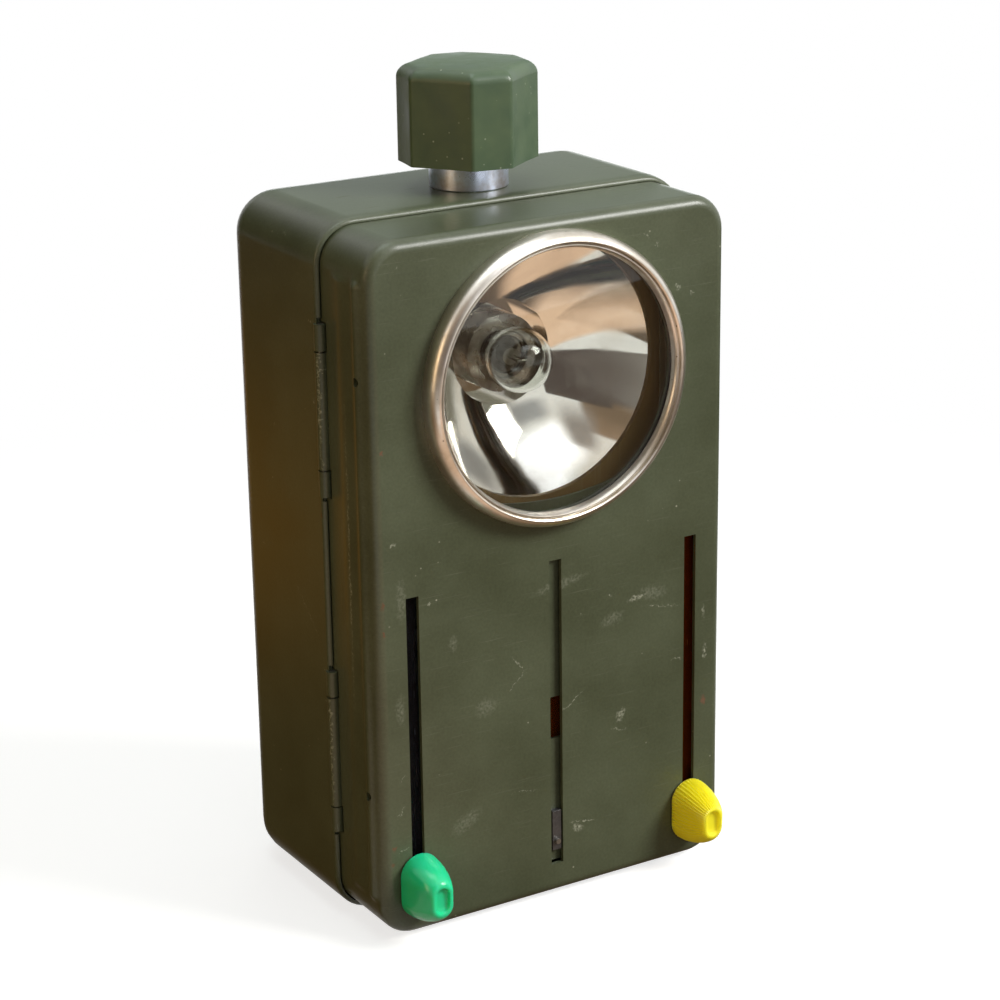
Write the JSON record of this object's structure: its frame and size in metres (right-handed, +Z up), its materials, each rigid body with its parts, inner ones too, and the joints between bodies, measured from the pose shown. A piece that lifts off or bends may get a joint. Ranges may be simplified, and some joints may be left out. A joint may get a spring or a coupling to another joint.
{
  "type": "morse signal lamp",
  "caption": "Pocket signal lamp: hinged steel box with a round lens and reflector, vertical slides for colour filters and a shutter, and a turn-and-push key knob on top.",
  "frame": {"origin": "middle of the flat base, on the surface that the lamp stands on, half-way between the faces of the case's front and back", "axes": "+X to the right seen from the front, +Y to the back, +Z up; the lens faces -Y"},
  "size_m": [0.0777, 0.0643, 0.1489],
  "materials": {
    "olive_enamel": "worn semi-gloss olive enamel on sheet steel",
    "inner_enamel": "dark satin enamel",
    "plain_steel": "plain rolled steel",
    "bezel_metal": "turned, dulled",
    "lens_glass": "clear polished",
    "reflector_mirror": "silvered",
    "contact_brass": "dull rolled brass",
    "gasket_rubber": "matt",
    "green_plastic": "moulded gloss",
    "yellow_plastic": "moulded gloss",
    "green_sheet": "clear tinted sheet",
    "amber_sheet": "clear tinted sheet",
    "olive_plastic": "moulded satin",
    "battery_jacket": "plain card jacket",
    "fibre_board": "pressed fibre"
  },
  "bodies": {
    "case": {"rear_case": "olive_enamel", "hinge_pin_lower": "plain_steel", "hinge_pin_upper": "plain_steel", "switch_bushing": "bezel_metal", "bushing_nut": "plain_steel", "battery": "battery_jacket", "battery_terminal_long": "contact_brass", "battery_terminal_short": "contact_brass", "battery_pad": "gasket_rubber", "battery_spring": "plain_steel", "terminal_board": "fibre_board", "board_post_left": "contact_brass", "board_post_right": "contact_brass", "contact_strip_long": "contact_brass", "contact_strip_short": "contact_brass", "bulb_leaf": "contact_brass", "switch_leaf": "contact_brass", "belt_clip": "olive_enamel", "clip_rivet_lower": "plain_steel", "clip_rivet_upper": "plain_steel", "latch_bracket": "olive_enamel", "latch_pin": "plain_steel"},
    "door": {"front_shell": "olive_enamel", "bezel_ring": "bezel_metal", "lens_glass": "lens_glass", "lens_gasket": "gasket_rubber", "reflector": "reflector_mirror", "bulb_holder": "plain_steel", "bulb_base": "contact_brass", "bulb_tip": "contact_brass", "bulb_glass": "lens_glass", "filament": "plain_steel", "reflector_plate": "inner_enamel", "plate_screw_lower_left": "plain_steel", "plate_screw_lower_right": "plain_steel", "plate_screw_upper_left": "plain_steel", "plate_screw_upper_right": "plain_steel", "filter_rail_left": "inner_enamel", "filter_rail_right": "inner_enamel", "rail_rivet_lower_left": "olive_enamel", "rail_rivet_upper_left": "olive_enamel", "rail_rivet_lower_right": "olive_enamel", "rail_rivet_upper_right": "olive_enamel", "shutter_rail_left": "inner_enamel", "shutter_rail_right": "inner_enamel"},
    "green_slide": {"green_filter": "green_sheet", "green_stem": "plain_steel", "green_button": "green_plastic"},
    "amber_slide": {"amber_filter": "amber_sheet", "amber_stem": "plain_steel", "amber_button": "yellow_plastic"},
    "shutter_slide": {"shutter_plate": "olive_enamel", "shutter_stub": "plain_steel", "shutter_pin": "plain_steel"},
    "switch_rotor": {"switch_sleeve": "contact_brass", "return_spring": "plain_steel"},
    "knob_push": {"top_knob": "olive_plastic", "knob_stem": "contact_brass"},
    "latch": {"latch_arm": "plain_steel"}
  },
  "joints": [
    {"name": "door_hinge", "type": "hinge", "parent": "case", "child": "door", "pos_m": [-0.0364, -0.0095, 0], "axis": [0, 0, -1], "range_deg": [0, 100]},
    {"name": "green_filter_slide", "type": "slide", "parent": "door", "child": "green_slide", "axis": [0, 0, 1], "range_m": [0, 0.0495]},
    {"name": "amber_filter_slide", "type": "slide", "parent": "door", "child": "amber_slide", "axis": [0, 0, 1], "range_m": [0, 0.0495]},
    {"name": "shutter_lift", "type": "slide", "parent": "door", "child": "shutter_slide", "axis": [0, 0, 1], "range_m": [0, 0.043]},
    {"name": "switch_turn", "type": "hinge", "parent": "case", "child": "switch_rotor", "pos_m": [0, 0.0022, 0.13], "axis": [0, 0, 1], "range_deg": [0, 90]},
    {"name": "key_push", "type": "slide", "parent": "switch_rotor", "child": "knob_push", "axis": [0, 0, -1], "range_m": [0, 0.0025], "stiffness_N_per_m": 600, "springref_m": -0.002, "deforming": ["return_spring"]},
    {"name": "latch_swing", "type": "hinge", "parent": "case", "child": "latch", "pos_m": [0.039, 0.002, 0.064], "axis": [0, 0, 1], "range_deg": [0, 110]}
  ]
}
